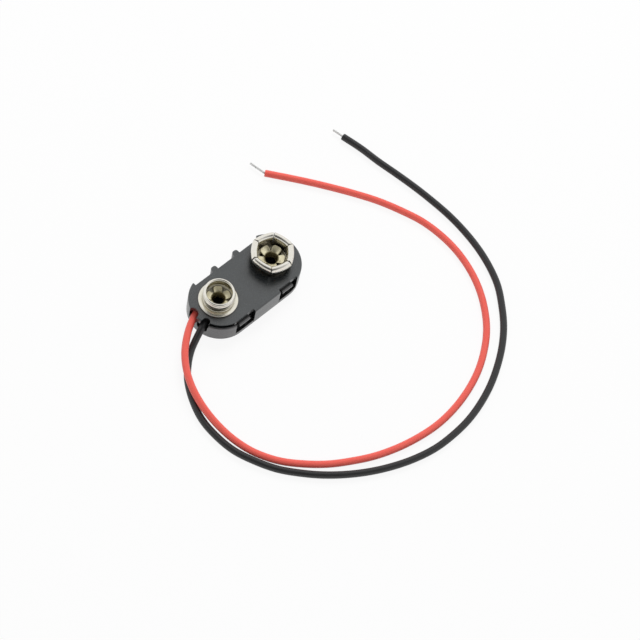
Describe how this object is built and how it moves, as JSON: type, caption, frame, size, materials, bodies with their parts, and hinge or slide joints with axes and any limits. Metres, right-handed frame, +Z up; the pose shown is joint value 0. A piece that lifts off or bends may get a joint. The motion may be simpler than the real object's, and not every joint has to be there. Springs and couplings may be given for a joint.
{
  "type": "nine volt battery snap connector",
  "caption": "Stadium-shaped snap connector for a block battery, with a stud and a leafed socket terminal on top and a red and a black flying lead with tinned ends.",
  "frame": {"origin": "middle of the housing's underside", "axes": "+X along the housing from the stud to the socket, +Y to the ribbed side, +Z up towards the battery"},
  "size_m": [0.0638, 0.064, 0.0074],
  "materials": {
    "shell": "satin moulded",
    "cover": "satin moulded",
    "terminals": "bright nickel plate",
    "rivets": "bright nickel plate",
    "red_insulation": "smooth insulation",
    "black_insulation": "smooth insulation",
    "tinned_wire": "tinned",
    "solder": "soldered"
  },
  "bodies": {
    "root": {"terminal_plate": "shell", "back_cover": "cover", "stud_terminal": "terminals", "socket_terminal": "terminals", "stud_rivet": "rivets", "socket_rivet": "rivets", "red_lead": "red_insulation", "black_lead": "black_insulation", "red_tinned_end": "tinned_wire", "black_tinned_end": "tinned_wire", "red_solder_joint": "solder", "black_solder_joint": "solder"}
  },
  "joints": []
}
